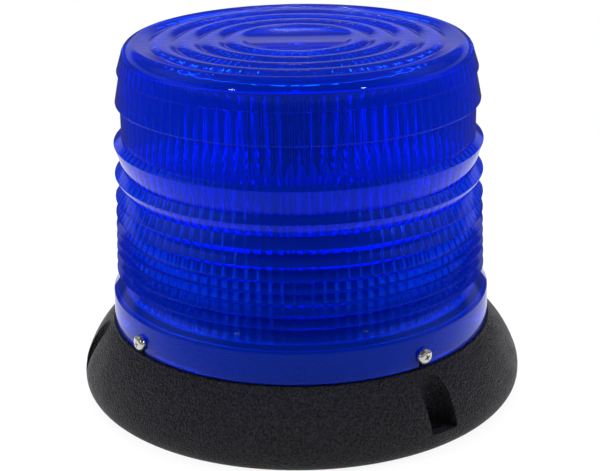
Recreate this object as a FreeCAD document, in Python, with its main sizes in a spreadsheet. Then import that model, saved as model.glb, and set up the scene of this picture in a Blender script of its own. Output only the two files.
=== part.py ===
import FreeCAD, Part
import math
import os
import re
import Sketcher

# Flashing beacon: a black flared base carries a blue Fresnel drum lens over a post with light boards
# round its head.
# Millimetres. The origin is the centre of the base underside, +Z is up, and the front, -Y,
# has a bolt pocket with a lens screw above it.

# Fresnel rings from the flange upwards: height of the face that leans out, then of the riser that leans back
ring_faces = (2.6, 2.6, 2.5, 2.3, 2.4, 2.4, 2.8, 5.0, 9.1)
ring_risers = (1.6, 1.6, 1.8, 1.8, 2.5, 3.2, 3.6, 2.4, 1.3)
ring_count = len(ring_faces)
wave_count = 4
flute_count = 96
led_board_count = 6
led_count = 2

# Bearings about the upright axis, in degrees
tower_screw_bearing = 180 / led_board_count
deck_screw_bearing = 45
capacitor_bearing = 45
inductor_bearing = 135
chip_bearing = -135
terminal_bearing = -45

dimensions = {
    # Base housing
    "base_height": 26.5,
    "foot_tuck": 2.8,
    "foot_height": 5.3,
    "foot_bulge": 0.74,
    "widest_height": 8.0,
    "flare_bulge": 1.45,
    "waist_round": 12.0,
    "lip_round": 0.6,
    "ledge_width": 3.6,
    "ledge_thickness": 3.0,
    "skirt_wall": 3.0,
    "channel_top_width": 2.0,
    "spigot_radius": 67.0,
    "skirt_width": 15.5,
    "spigot_wall": 4.0,
    "spigot_height": 9.5,
    "floor_rise": 2.0,
    "floor_thickness": 3.0,
    "rib_count": 12,
    "rib_thickness": 2.0,
    "rib_rise": 1.0,
    # Bolt pockets
    "bolt_count": 3,
    "bolt_inset": 6.3,
    "bolt_hole": 5.5,
    "pocket_width": 11.4,
    "pocket_shift": 1.5,
    "pocket_floor": 7.0,
    "pocket_wall": 2.5,
    # Lens
    "lens_gap": 0.9,
    "flange_fit": 0.4,
    "flange_wall": 2.9,
    "flange_height": 11.3,
    "flange_draft": 0.2,
    "shoulder_width": 3.6,
    "shoulder_height": 3.6,
    "neck_height": 2.4,
    "root_inset": 5.9,
    "ring_depth_low": 4.2,
    "ring_depth_high": 3.0,
    "band_height": 12.8,
    "lower_step_rise": 0.85,
    "lower_step_reach": 1.7,
    "lower_step_height": 10.6,
    "lower_step_tuck": 0.4,
    "upper_step_rise": 0.55,
    "upper_step_reach": 0.6,
    "upper_step_height": 5.75,
    "upper_step_tuck": 1.2,
    "rim_height": 4.35,
    "rim_width": 4.6,
    "rim_bulge": 1.1,
    "rim_flat": 5.35,
    "wave_depth": 0.9,
    "disc_radius": 17.65,
    "lens_wall": 2.9,
    "top_wall": 3.0,
    "lens_corner": 3.6,
    "flute_depth": 0.3,
    "flute_land": 1.9,
    "flute_sink": 0.6,
    "seal_thickness": 2.0,
    "seal_margin": 0.3,
    # Lens screws and their inserts
    "screw_count": 4,
    "screw_rise": 3.8,
    "screw_radius": 1.45,
    "screw_length": 9.0,
    "head_radius": 3.0,
    "head_height": 2.1,
    "head_edge": 0.9,
    "head_flat": 1.4,
    "head_bulge": 0.3,
    "head_gap": 0.3,
    "recess_reach": 1.15,
    "recess_half": 0.3,
    "recess_depth": 1.2,
    "notch_gap": 0.3,
    "insert_radius": 2.3,
    "insert_length": 6.0,
    "insert_sink": 0.2,
    "insert_boss_width": 10.0,
    "insert_boss_depth": 5.0,
    "insert_boss_drop": 5.5,
    "fit_gap": 0.05,
    "cut_margin": 1.0,
    # Cable inlet and gasket
    "inlet_radius": 7.0,
    "grommet_bore": 3.5,
    "grommet_lip": 3.0,
    "grommet_lip_height": 1.5,
    "grommet_neck": 3.0,
    "gasket_bore": 14.0,
    "gasket_gap": 0.2,
    # Deck plate
    "deck_thickness": 2.0,
    "deck_gap": 0.4,
    "deck_wire_hole": 4.0,
    "pillar_inset": 5.5,
    "pillar_radius": 4.0,
    "pillar_count": 4,
    "deck_screw_length": 10.0,
    "pilot_spare": 2.0,
    "through_gap": 0.25,
    "flat_head_height": 2.0,
    # Light tower
    "tower_flats": 20.0,
    "tower_spare": 2.6,
    "tower_bore": 4.0,
    "tower_crown": 14.0,
    "tower_screw_circle": 6.5,
    "tower_screw_count": 3,
    "tower_screw_length": 11.0,
    "cap_radius": 13.0,
    "cap_thickness": 2.0,
    "cap_screw_length": 10.0,
    "led_board_width": 10.6,
    "led_board_height": 21.0,
    "led_board_thickness": 1.6,
    "led_board_rise": 48.0,
    "led_side": 3.5,
    "led_height": 0.7,
    "led_dome": 1.25,
    "led_margin": 7.6,
    "board_screw_inset": 3.5,
    "board_screw_radius": 0.95,
    "board_head_radius": 1.8,
    "board_head_height": 1.2,
    "board_screw_length": 5.0,
    "board_recess_reach": 0.8,
    "board_recess_half": 0.22,
    "board_recess_depth": 0.7,
    # Driver board
    "driver_inset": 13.0,
    "driver_bore": 14.0,
    "driver_thickness": 1.6,
    "standoff_height": 5.0,
    "standoff_radius": 3.2,
    "standoff_inset": 8.0,
    "standoff_count": 4,
    "driver_screw_length": 5.5,
    "capacitor_radius": 5.0,
    "capacitor_height": 16.0,
    "capacitor_inset": 15.0,
    "capacitor_degrees": 20.0,
    "inductor_side": 14.0,
    "inductor_height": 9.0,
    "inductor_chamfer": 3.0,
    "inductor_inset": 18.0,
    "chip_length": 10.0,
    "chip_width": 7.0,
    "chip_height": 2.4,
    "chip_inset": 19.0,
    "chip_degrees": 17.0,
    "terminal_length": 16.0,
    "terminal_width": 9.0,
    "terminal_height": 11.0,
    "terminal_inset": 21.0,
    "terminal_hole": 2.6,
    "terminal_pitch": 7.5,
    "terminal_hole_depth": 6.0,
    "terminal_hole_rise": 3.5,
}
for place, (face, riser) in enumerate(zip(ring_faces, ring_risers), start=1):
    dimensions[f"ring_face_{place}"] = face
    dimensions[f"ring_riser_{place}"] = riser

doc = FreeCAD.newDocument("flashing_beacon")
sizes = doc.addObject("Spreadsheet::Sheet", "sizes")
for line, (alias, value) in enumerate(dimensions.items(), start=1):
    sizes.set(f"A{line}", alias)
    sizes.set(f"B{line}", str(value))
    sizes.setAlias(f"B{line}", alias)
doc.recompute()

# Places that several pieces share, as formulas of the sizes
base_radius = "(spigot_radius + skirt_width)"
foot_radius = f"({base_radius} - foot_tuck)"
base_top_radius = "(spigot_radius + ledge_width)"
tray_radius = "(spigot_radius - spigot_wall)"
floor_top = "(floor_rise + floor_thickness)"
spigot_top = "(base_height + spigot_height)"
lens_foot = "(base_height + lens_gap)"
lens_seat = f"({spigot_top} + seal_thickness)"
flange_bore = "(spigot_radius + flange_fit)"
flange_radius = f"({flange_bore} + flange_wall)"
root_radius = f"({flange_radius} - root_inset)"
upper_step_neck = f"({root_radius} - upper_step_tuck)"
rim_radius = f"({upper_step_neck} - rim_width)"
lens_bore_low = f"({root_radius} - lens_wall)"
lens_bore_high = f"({upper_step_neck} - lens_wall)"
wave_pitch = f"(({rim_radius} - rim_flat - disc_radius) / {wave_count})"
head_seat = f"({flange_radius} + head_gap)"
screw_height = f"({lens_foot} + screw_rise)"
insert_mouth = "(spigot_radius - insert_sink)"
deck_foot = f"({spigot_top} - deck_thickness)"
pillar_circle = f"({tray_radius} - pillar_inset)"
bolt_radius = f"({base_radius} - bolt_inset)"
tower_height = "(led_board_rise + led_board_height + tower_spare)"
tower_top = f"({spigot_top} + {tower_height})"
led_board_face = "(tower_flats / 2 + led_board_thickness)"
led_board_middle = f"({spigot_top} + led_board_rise + led_board_height / 2)"
board_screw_reach = "(led_board_height / 2 - board_screw_inset)"
led_pitch = f"((led_board_height - 2 * led_margin) / {led_count - 1})"
driver_radius = f"({tray_radius} - driver_inset)"
standoff_circle = f"({driver_radius} - standoff_inset)"
capacitor_circle = f"({driver_radius} - capacitor_inset)"
inductor_circle = f"({driver_radius} - inductor_inset)"
chip_circle = f"({driver_radius} - chip_inset)"
terminal_circle = f"({driver_radius} - terminal_inset)"
driver_foot = f"({floor_top} + standoff_height)"
driver_top = f"({driver_foot} + driver_thickness)"

pieces = []


def cells(formula):
    """Write each size's name in a formula as a reference to its cell."""
    def cell(word):
        return f"sizes.{word[0]}" if word[0] in dimensions else word[0]

    return re.sub(r"[a-z][a-z0-9_]*", cell, formula)


def number(formula):
    """The present value of a formula."""
    return float(sizes.evalExpression(cells(formula)))


def new_body(label):
    """A sub-part: its label is its file name."""
    body = doc.addObject("PartDesign::Body", label)
    body.Label = label
    body.AllowCompound = True
    pieces.append(body)
    return body


def origin_feature(body, role):
    """One of the body's own origin planes or axes."""
    return next(feature for feature in body.Origin.OriginFeatures if feature.Role == role)


def new_sketch(body, name, role, lift="0", turn=0):
    """A sketch on an origin plane, lifted along its normal and turned about the body's upright axis."""
    sketch = body.newObject("Sketcher::SketchObject", name)
    sketch.AttachmentSupport = [(origin_feature(body, role), "")]
    sketch.MapMode = "FlatFace"
    upright = FreeCAD.Vector(0, 0, 1) if role == "XY_Plane" else FreeCAD.Vector(0, 1, 0)
    sketch.AttachmentOffset = FreeCAD.Placement(FreeCAD.Vector(), FreeCAD.Rotation(upright, turn))
    if role == "XY_Plane":
        sketch.setExpression("AttachmentOffset.Base.z", cells(lift))
    else:
        sketch.setExpression("AttachmentOffset.Base.x", cells(f"({lift}) * sin({turn})"))
        sketch.setExpression("AttachmentOffset.Base.z", cells(f"({lift}) * cos({turn})"))
    return sketch


def tie(sketch, kind, shape, point, formula):
    """Hold one coordinate of a point of the sketch at a formula."""
    index = sketch.addConstraint(Sketcher.Constraint(kind, -1, 1, shape, point, number(formula)))
    sketch.setExpression(f"Constraints[{index}]", cells(formula))


def add_loop(sketch, points):
    """A closed outline, counter-clockwise. A third entry bows the run to the next point out as an arc."""
    joints = []
    for index, point in enumerate(points):
        across, up = point[0], point[1]
        next_across, next_up = points[(index + 1) % len(points)][:2]
        start = FreeCAD.Vector(number(across), number(up), 0)
        end = FreeCAD.Vector(number(next_across), number(next_up), 0)
        if len(point) == 2:
            shape = sketch.addGeometry(Part.LineSegment(start, end))
            joints.append((shape, 1, 2))
        else:
            chord = f"sqrt(({next_across} - ({across}))^2 + ({next_up} - ({up}))^2)"
            reach = f"(({point[2]}) / (2 * {chord}) - {chord} / (8 * ({point[2]})))"
            centre_across = f"({across} + {next_across}) / 2 + ({next_up} - ({up})) * {reach}"
            centre_up = f"({up} + {next_up}) / 2 - ({next_across} - ({across})) * {reach}"
            centre = FreeCAD.Vector(number(centre_across), number(centre_up), 0)
            circle = Part.Circle(centre, FreeCAD.Vector(0, 0, 1), (start - centre).Length)
            outward = number(point[2]) > 0
            first, last = (start, end) if outward else (end, start)
            angles = [math.atan2(spot.y - centre.y, spot.x - centre.x) for spot in (first, last)]
            if angles[1] < angles[0]:
                angles[1] += 2 * math.pi
            shape = sketch.addGeometry(Part.ArcOfCircle(circle, *angles))
            joints.append((shape, 1, 2) if outward else (shape, 2, 1))
            if abs(end.x - start.x) > abs(end.y - start.y):
                tie(sketch, "DistanceY", shape, 3, centre_up)
            else:
                tie(sketch, "DistanceX", shape, 3, centre_across)
    for index, (shape, start_point, _) in enumerate(joints):
        before, _, end_point = joints[index - 1]
        sketch.addConstraint(Sketcher.Constraint("Coincident", before, end_point, shape, start_point))
        tie(sketch, "DistanceX", shape, start_point, points[index][0])
        tie(sketch, "DistanceY", shape, start_point, points[index][1])


def add_circle(sketch, across, up, radius):
    """A full circle about a point."""
    centre = FreeCAD.Vector(number(across), number(up), 0)
    shape = sketch.addGeometry(Part.Circle(centre, FreeCAD.Vector(0, 0, 1), number(radius)))
    tie(sketch, "DistanceX", shape, 3, across)
    tie(sketch, "DistanceY", shape, 3, up)
    index = sketch.addConstraint(Sketcher.Constraint("Radius", shape, number(radius)))
    sketch.setExpression(f"Constraints[{index}]", cells(radius))


def add_axis(sketch, start, end):
    """A construction line that a profile turns about."""
    spots = [FreeCAD.Vector(number(spot[0]), number(spot[1]), 0) for spot in (start, end)]
    shape = sketch.addGeometry(Part.LineSegment(*spots), True)
    for point, spot in ((1, start), (2, end)):
        tie(sketch, "DistanceX", shape, point, spot[0])
        tie(sketch, "DistanceY", shape, point, spot[1])


def rectangle(low_across, low_up, high_across, high_up):
    """Corners of a rectangle, counter-clockwise."""
    return [(low_across, low_up), (high_across, low_up), (high_across, high_up), (low_across, high_up)]


def inward_slot(half_width, round_centre, mouth):
    """A slot that runs in from a mouth at the front and ends in a half round."""
    return [
        (f"-({half_width})", f"-({mouth})"),
        (half_width, f"-({mouth})"),
        (half_width, f"-({round_centre})", half_width),
        (f"-({half_width})", f"-({round_centre})"),
    ]


def cross_recess(across, up, reach, half):
    """Outline of a screwdriver's cross about a point."""
    arm = [(reach, f"-{half}"), (reach, half), (half, half)]
    points = []
    for _ in range(4):
        points += [(f"{across} + ({right})", f"{up} + ({rise})") for right, rise in arm]
        arm = [(f"-({rise})", right) for right, rise in arm]
    return points


def add_feature(body, kind, name, sketch):
    """A feature on a sketch, as the body's new tip."""
    doc.recompute()
    feature = body.newObject(f"PartDesign::{kind}", name)
    feature.Profile = sketch
    body.Tip = feature
    return feature


def pad(body, name, sketch, length, downwards=False):
    feature = add_feature(body, "Pad", name, sketch)
    feature.setExpression("Length", cells(length))
    feature.Reversed = downwards
    return feature


def revolve(body, name, sketch, angle="360", axis="V_Axis"):
    feature = add_feature(body, "Revolution", name, sketch)
    feature.ReferenceAxis = (sketch, [axis])
    feature.Midplane = True
    feature.setExpression("Angle", cells(angle))
    return feature


def round_circle(body, name, feature, across, height, radius):
    """Round the circular edge that a revolved feature has at that radius and height."""
    doc.recompute()
    spot = FreeCAD.Vector(0, 0, number(height))
    for place, edge in enumerate(feature.Shape.Edges, start=1):
        if isinstance(edge.Curve, Part.Circle) and edge.Curve.Center.isEqual(spot, 0.001):
            if abs(edge.Curve.Radius - number(across)) < 0.001:
                break
    else:
        raise RuntimeError(f"{name} finds no edge")
    fillet = body.newObject("PartDesign::Fillet", name)
    fillet.Base = (feature, [f"Edge{place}"])
    fillet.setExpression("Radius", cells(radius))
    body.Tip = fillet


def must_cut(body, feature, volume):
    """Stop if a cut took nothing away."""
    doc.recompute()
    if body.Shape.Volume >= volume:
        raise RuntimeError(f"{feature.Name} cuts nothing")


def pocket(body, name, sketch, length=None, upwards=False):
    """A cut against the sketch's normal, or along it, to a length or through everything."""
    doc.recompute()
    volume = body.Shape.Volume
    feature = add_feature(body, "Pocket", name, sketch)
    feature.Reversed = upwards
    if length is None:
        feature.Type = "ThroughAll"
    else:
        feature.setExpression("Length", cells(length))
    must_cut(body, feature, volume)
    return feature


def groove(body, name, sketch):
    doc.recompute()
    volume = body.Shape.Volume
    feature = add_feature(body, "Groove", name, sketch)
    feature.ReferenceAxis = (sketch, ["V_Axis"])
    feature.Angle = 360
    must_cut(body, feature, volume)
    return feature


def polar(body, name, features, count):
    """Repeat features evenly about the upright axis."""
    doc.recompute()
    pattern = body.newObject("PartDesign::PolarPattern", name)
    pattern.Originals = features
    pattern.Axis = (origin_feature(body, "Z_Axis"), [""])
    pattern.Angle = 360
    pattern.setExpression("Occurrences", cells(count))
    body.Tip = pattern
    doc.recompute()
    return pattern


def quarter_round(radius):
    """Bulge of a quarter circle of that radius."""
    return f"({radius}) * (sqrt(2) - 1) / sqrt(2)"


def wedge_section(low):
    """Section that fills the base's under-channel and reaches half way into its walls."""
    half_skirt = "skirt_wall / 2"
    return [
        ("spigot_radius - spigot_wall / 2", low),
        (f"{foot_radius} - {half_skirt}", low),
        (f"{base_radius} - {half_skirt}", "widest_height"),
        ("spigot_radius + channel_top_width", "base_height - ledge_thickness / 2"),
        ("spigot_radius - spigot_wall / 2", "base_height - ledge_thickness / 2"),
    ]


def make_base_housing():
    body = new_body("base_housing")
    section = new_sketch(body, "base_section", "XZ_Plane")
    add_loop(section, [
        ("inlet_radius", "floor_rise"),
        (tray_radius, "floor_rise"),
        (tray_radius, "0"),
        (foot_radius, "0", "foot_bulge"),
        (base_radius, "foot_height"),
        (base_radius, "widest_height", "flare_bulge"),
        (f"{base_top_radius} + lip_round", "base_height - lip_round", quarter_round("lip_round")),
        (base_top_radius, "base_height"),
        ("spigot_radius", "base_height"),
        ("spigot_radius", spigot_top),
        (tray_radius, spigot_top),
        (tray_radius, floor_top),
        ("inlet_radius", floor_top),
    ])
    shell = revolve(body, "base_shell", section)
    round_circle(body, "waist", shell, base_radius, "widest_height", "waist_round")

    # Channel under the flared skirt, with ribs and a solid seat under each bolt pocket
    channel = new_sketch(body, "channel_section", "XZ_Plane")
    add_loop(channel, [
        ("spigot_radius", "-cut_margin"),
        (f"{foot_radius} - skirt_wall", "-cut_margin"),
        (f"{base_radius} - skirt_wall", "widest_height"),
        ("spigot_radius + channel_top_width", "base_height - ledge_thickness"),
        ("spigot_radius", "base_height - ledge_thickness"),
    ])
    groove(body, "under_channel", channel)
    rib_section = new_sketch(body, "rib_section", "XZ_Plane")
    add_loop(rib_section, wedge_section("rib_rise"))
    rib = revolve(body, "rib", rib_section, "rib_thickness / spigot_radius * 180 / pi")
    polar(body, "ribs", [rib], "rib_count")
    seat_section = new_sketch(body, "seat_section", "XZ_Plane", turn=-90)
    add_loop(seat_section, wedge_section("0"))
    seat_angle = f"(pocket_width + 2 * pocket_wall) / {bolt_radius} * 180 / pi"
    seat = revolve(body, "bolt_seat", seat_section, seat_angle)
    polar(body, "bolt_seats", [seat], "bolt_count")

    # Bolt pockets, open outwards and upwards, with their holes
    pocket_outline = new_sketch(body, "pocket_outline", "XY_Plane", "pocket_floor")
    add_loop(pocket_outline, inward_slot(
        "pocket_width / 2", f"({bolt_radius} + pocket_shift)", f"{base_radius} + cut_margin"))
    bolt_pocket = pocket(body, "bolt_pocket", pocket_outline, upwards=True)
    hole_outline = new_sketch(body, "bolt_hole_outline", "XY_Plane", "pocket_floor")
    add_circle(hole_outline, "0", f"-{bolt_radius}", "bolt_hole / 2")
    bolt_hole = pocket(body, "bolt_hole_cut", hole_outline)
    polar(body, "bolt_pockets", [bolt_pocket, bolt_hole], "bolt_count")

    # Bosses inside the spigot for the lens screws' inserts
    boss_low = f"({screw_height} - insert_boss_drop)"
    boss_outline = new_sketch(body, "insert_boss_outline", "XY_Plane", boss_low)
    add_loop(boss_outline, rectangle(
        "-insert_boss_width / 2", f"-({tray_radius} + spigot_wall / 2)",
        "insert_boss_width / 2", f"-({tray_radius} - insert_boss_depth)"))
    boss = pad(body, "insert_boss", boss_outline, f"{deck_foot} - {boss_low}")
    insert_hole_outline = new_sketch(body, "insert_hole_outline", "XZ_Plane", "spigot_radius + cut_margin")
    add_circle(insert_hole_outline, "0", screw_height, "insert_radius + fit_gap")
    insert_hole = pocket(body, "insert_hole", insert_hole_outline,
                         "cut_margin + insert_sink + insert_length + cut_margin")
    polar(body, "insert_bosses", [boss, insert_hole], "screw_count")

    # Pillars that the deck plate is screwed to, joined to the tray wall
    floor_middle = "(floor_rise + floor_thickness / 2)"
    pillar_outline = new_sketch(body, "pillar_outline", "XY_Plane", floor_middle, deck_screw_bearing)
    add_loop(pillar_outline, inward_slot("pillar_radius", pillar_circle, f"{tray_radius} + spigot_wall / 2"))
    pillar = pad(body, "pillar", pillar_outline, f"{deck_foot} - {floor_middle}")
    pilot_outline = new_sketch(body, "pillar_pilot_outline", "XY_Plane", deck_foot, deck_screw_bearing)
    add_circle(pilot_outline, "0", f"-{pillar_circle}", "screw_radius + fit_gap")
    pilot = pocket(body, "pillar_pilot", pilot_outline, "deck_screw_length - deck_thickness + pilot_spare")
    polar(body, "pillars", [pillar, pilot], "pillar_count")

    # Standoffs under the driver board
    standoff_outline = new_sketch(body, "standoff_outline", "XY_Plane", floor_middle)
    add_circle(standoff_outline, "0", f"-{standoff_circle}", "standoff_radius")
    standoff = pad(body, "standoff", standoff_outline, f"{driver_foot} - {floor_middle}")
    bore_outline = new_sketch(body, "standoff_pilot_outline", "XY_Plane", driver_foot)
    add_circle(bore_outline, "0", f"-{standoff_circle}", "screw_radius + fit_gap")
    bore = pocket(body, "standoff_pilot", bore_outline, "standoff_height")
    polar(body, "standoffs", [standoff, bore], "standoff_count")


def make_mounting_gasket():
    body = new_body("mounting_gasket")
    section = new_sketch(body, "gasket_section", "XZ_Plane")
    add_loop(section, rectangle("gasket_bore", "0", f"{tray_radius} - gasket_gap", "floor_rise"))
    revolve(body, "gasket_ring", section)


def make_cable_grommet():
    body = new_body("cable_grommet")
    section = new_sketch(body, "grommet_section", "XZ_Plane")
    lip_radius = "inlet_radius + grommet_lip"
    neck_radius = "inlet_radius - fit_gap"
    lip_top = f"{floor_top} + grommet_lip_height"
    add_loop(section, [
        ("grommet_bore", "floor_rise - grommet_lip_height"),
        (lip_radius, "floor_rise - grommet_lip_height"),
        (lip_radius, "floor_rise"),
        (neck_radius, "floor_rise"),
        (neck_radius, floor_top),
        (lip_radius, floor_top),
        (lip_radius, lip_top),
        (neck_radius, f"{lip_top} + grommet_neck"),
        ("grommet_bore", f"{lip_top} + grommet_neck"),
    ])
    revolve(body, "grommet_bush", section)


def lens_outline():
    """Section of the lens: flange, Fresnel rings, plain band, two steps, ringed top and plain inside."""
    flange_top_radius = f"({flange_radius} - flange_draft)"
    points = [
        (flange_bore, lens_foot),
        (flange_radius, lens_foot),
        (flange_top_radius, f"{lens_foot} + flange_height"),
        (f"{flange_top_radius} - shoulder_width", f"{lens_foot} + flange_height + shoulder_height"),
    ]
    height = f"{lens_foot} + flange_height + shoulder_height + neck_height"
    points.append((root_radius, height))
    for ring in range(1, ring_count + 1):
        share = f"{ring - 1} / {ring_count - 1}"
        height += f" + ring_face_{ring}"
        depth = f"ring_depth_low + (ring_depth_high - ring_depth_low) * {share}"
        points.append((f"{root_radius} + {depth}", height))
        height += f" + ring_riser_{ring}"
        points.append((root_radius, height))
    height += " + band_height"
    points.append((root_radius, height))
    height += " + lower_step_rise"
    points.append((f"{root_radius} + lower_step_reach", height))
    height += " + lower_step_height"
    points.append((f"{root_radius} - lower_step_tuck", height))
    height += " + upper_step_rise"
    points.append((f"{root_radius} + upper_step_reach", height))
    height += " + upper_step_height"
    points.append((upper_step_neck, height, "rim_bulge"))
    height += " + rim_height"
    points.append((rim_radius, height))
    valley = f"({height} - wave_depth)"
    for wave in range(wave_count, 0, -1):
        points.append((f"disc_radius + {wave_pitch} * {wave}", valley, "wave_depth"))
    points.append(("disc_radius", valley))
    points.append(("0", valley))
    ceiling = f"({valley} - top_wall)"
    points.append(("0", ceiling))
    points.append((f"{lens_bore_high} - lens_corner", ceiling, f"-{quarter_round('lens_corner')}"))
    points.append((lens_bore_high, f"{ceiling} - lens_corner"))
    points.append((lens_bore_low, lens_seat))
    points.append((flange_bore, lens_seat))
    return points


def flute_section(wall):
    """Section of one flute at the front of the inner wall, sunk into it and bowed towards the axis."""
    half = f"(({wall}) * sin({180 / flute_count}) - flute_land / 2)"
    foot = f"(({wall}) * cos({180 / flute_count}))"
    return [
        (f"-{half}", f"-({foot} + flute_sink)"),
        (half, f"-({foot} + flute_sink)"),
        (half, f"-{foot}", "flute_depth"),
        (f"-{half}", f"-{foot}"),
    ]


def make_lens():
    body = new_body("lens")
    section = new_sketch(body, "lens_section", "XZ_Plane")
    outline = lens_outline()
    add_loop(section, outline)
    revolve(body, "lens_drum", section)

    # Flutes down the inner wall, which tapers for the moulding core
    flute_top = outline[-3][1]
    low_section = new_sketch(body, "flute_foot", "XY_Plane", lens_seat)
    add_loop(low_section, flute_section(lens_bore_low))
    high_section = new_sketch(body, "flute_top", "XY_Plane", flute_top)
    add_loop(high_section, flute_section(lens_bore_high))
    flute = add_feature(body, "AdditiveLoft", "flute", low_section)
    flute.Sections = [high_section]
    flute.Ruled = True
    polar(body, "flutes", [flute], str(flute_count))

    # Notches that let the flange down over the screws, open at the bottom
    notch_half = "(screw_radius + notch_gap)"
    notch_outline = new_sketch(body, "notch_outline", "XZ_Plane", f"{flange_radius} + cut_margin")
    add_loop(notch_outline, [
        (f"-{notch_half}", f"{lens_foot} - cut_margin"),
        (notch_half, f"{lens_foot} - cut_margin"),
        (notch_half, screw_height, notch_half),
        (f"-{notch_half}", screw_height),
    ])
    notch = pocket(body, "notch", notch_outline, "cut_margin + flange_wall + cut_margin")
    polar(body, "notches", [notch], "screw_count")


def make_lens_seal():
    body = new_body("lens_seal")
    section = new_sketch(body, "seal_section", "XZ_Plane")
    add_loop(section, rectangle(
        f"{tray_radius} + seal_margin", spigot_top, "spigot_radius - seal_margin", lens_seat))
    revolve(body, "seal_ring", section)


def make_lens_screws():
    """Pan-head screws that point at the axis, turned about a level line at the front."""
    body = new_body("lens_screws")
    section = new_sketch(body, "screw_section", "YZ_Plane")
    tip = f"-({head_seat} - screw_length)"
    crown = f"-({head_seat} + head_height)"
    dome_foot = f"-({head_seat} + head_edge)"
    add_loop(section, [
        (crown, screw_height),
        (tip, screw_height),
        (tip, f"{screw_height} + screw_radius"),
        (f"-{head_seat}", f"{screw_height} + screw_radius"),
        (f"-{head_seat}", f"{screw_height} + head_radius"),
        (dome_foot, f"{screw_height} + head_radius", "head_bulge"),
        (crown, f"{screw_height} + head_flat"),
    ])
    add_axis(section, (crown, screw_height), (tip, screw_height))
    screw = revolve(body, "screw", section, axis="Axis0")
    recess_outline = new_sketch(body, "screw_recess_outline", "XZ_Plane", f"{head_seat} + head_height")
    add_loop(recess_outline, cross_recess("0", screw_height, "recess_reach", "recess_half"))
    recess = pocket(body, "screw_recess", recess_outline, "recess_depth")
    polar(body, "screws", [screw, recess], "screw_count")


def make_screw_inserts():
    body = new_body("screw_inserts")
    outline = new_sketch(body, "insert_outline", "XZ_Plane", f"{insert_mouth} - insert_length")
    add_circle(outline, "0", screw_height, "insert_radius")
    add_circle(outline, "0", screw_height, "screw_radius + fit_gap")
    insert = pad(body, "insert", outline, "insert_length")
    polar(body, "inserts", [insert], "screw_count")


def make_deck_plate():
    body = new_body("deck_plate")
    outline = new_sketch(body, "deck_outline", "XY_Plane", deck_foot)
    add_circle(outline, "0", "0", f"{tray_radius} - deck_gap")
    add_circle(outline, "0", "0", "deck_wire_hole")
    pad(body, "deck_disc", outline, "deck_thickness")
    screw_hole_outline = new_sketch(
        body, "deck_screw_hole_outline", "XY_Plane", spigot_top, deck_screw_bearing)
    add_circle(screw_hole_outline, "0", f"-{pillar_circle}", "screw_radius + through_gap")
    screw_hole = pocket(body, "deck_screw_hole", screw_hole_outline)
    polar(body, "deck_screw_holes", [screw_hole], "pillar_count")
    tower_hole_outline = new_sketch(
        body, "tower_screw_hole_outline", "XY_Plane", spigot_top, tower_screw_bearing)
    add_circle(tower_hole_outline, "0", "-tower_screw_circle", "screw_radius + through_gap")
    tower_hole = pocket(body, "tower_screw_hole", tower_hole_outline)
    polar(body, "tower_screw_holes", [tower_hole], "tower_screw_count")


def make_upright_screws(label, seat, circle, length, count, turn=0, head_below=False):
    """A ring of upright screws whose heads bear on a seat."""
    body = new_body(label)
    head_outline = new_sketch(body, f"{label}_head_outline", "XY_Plane", seat, turn)
    add_circle(head_outline, "0", f"-{circle}", "head_radius")
    head = pad(body, f"{label}_head", head_outline, "flat_head_height", downwards=head_below)
    shank_outline = new_sketch(body, f"{label}_shank_outline", "XY_Plane", seat, turn)
    add_circle(shank_outline, "0", f"-{circle}", "screw_radius")
    shank = pad(body, f"{label}_shank", shank_outline, length, downwards=not head_below)
    crown = f"{seat} - flat_head_height" if head_below else f"{seat} + flat_head_height"
    recess_outline = new_sketch(body, f"{label}_recess_outline", "XY_Plane", crown, turn)
    add_loop(recess_outline, cross_recess("0", f"-{circle}", "recess_reach", "recess_half"))
    recess = pocket(body, f"{label}_recess", recess_outline, "recess_depth", upwards=head_below)
    polar(body, f"{label}_ring", [head, shank, recess], count)


def make_tower_core():
    body = new_body("tower_core")
    outline = new_sketch(body, "core_outline", "XY_Plane", spigot_top)
    corners = []
    for corner in range(led_board_count):
        angle = -90 + (corner + 0.5) * 360 / led_board_count
        reach = f"tower_flats / 2 / cos({180 / led_board_count})"
        corners.append((f"{reach} * cos({angle})", f"{reach} * sin({angle})"))
    add_loop(outline, corners)
    pad(body, "core_post", outline, tower_height)
    bore_outline = new_sketch(body, "core_bore_outline", "XY_Plane", spigot_top)
    add_circle(bore_outline, "0", "0", "tower_bore")
    pocket(body, "core_bore", bore_outline, f"{tower_height} - tower_crown", upwards=True)
    cap_hole_outline = new_sketch(body, "cap_screw_hole_outline", "XY_Plane", tower_top)
    add_circle(cap_hole_outline, "0", "0", "screw_radius + fit_gap")
    pocket(body, "cap_screw_hole", cap_hole_outline, "cap_screw_length - cap_thickness + pilot_spare")
    foot_hole_outline = new_sketch(
        body, "foot_screw_hole_outline", "XY_Plane", spigot_top, tower_screw_bearing)
    add_circle(foot_hole_outline, "0", "-tower_screw_circle", "screw_radius + fit_gap")
    foot_hole = pocket(body, "foot_screw_hole", foot_hole_outline,
                       "tower_screw_length - deck_thickness + pilot_spare", upwards=True)
    polar(body, "foot_screw_holes", [foot_hole], "tower_screw_count")
    board_hole_outline = new_sketch(body, "board_screw_hole_outline", "XZ_Plane", "tower_flats / 2")
    for side in ("-", "+"):
        add_circle(board_hole_outline, "0", f"{led_board_middle} {side} {board_screw_reach}",
                   "board_screw_radius + fit_gap")
    board_hole = pocket(body, "board_screw_hole", board_hole_outline,
                        "board_screw_length - led_board_thickness + pilot_spare")
    polar(body, "board_screw_holes", [board_hole], str(led_board_count))


def make_tower_cap():
    body = new_body("tower_cap")
    outline = new_sketch(body, "cap_outline", "XY_Plane", tower_top)
    add_circle(outline, "0", "0", "cap_radius")
    add_circle(outline, "0", "0", "screw_radius + through_gap")
    pad(body, "cap_disc", outline, "cap_thickness")


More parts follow.
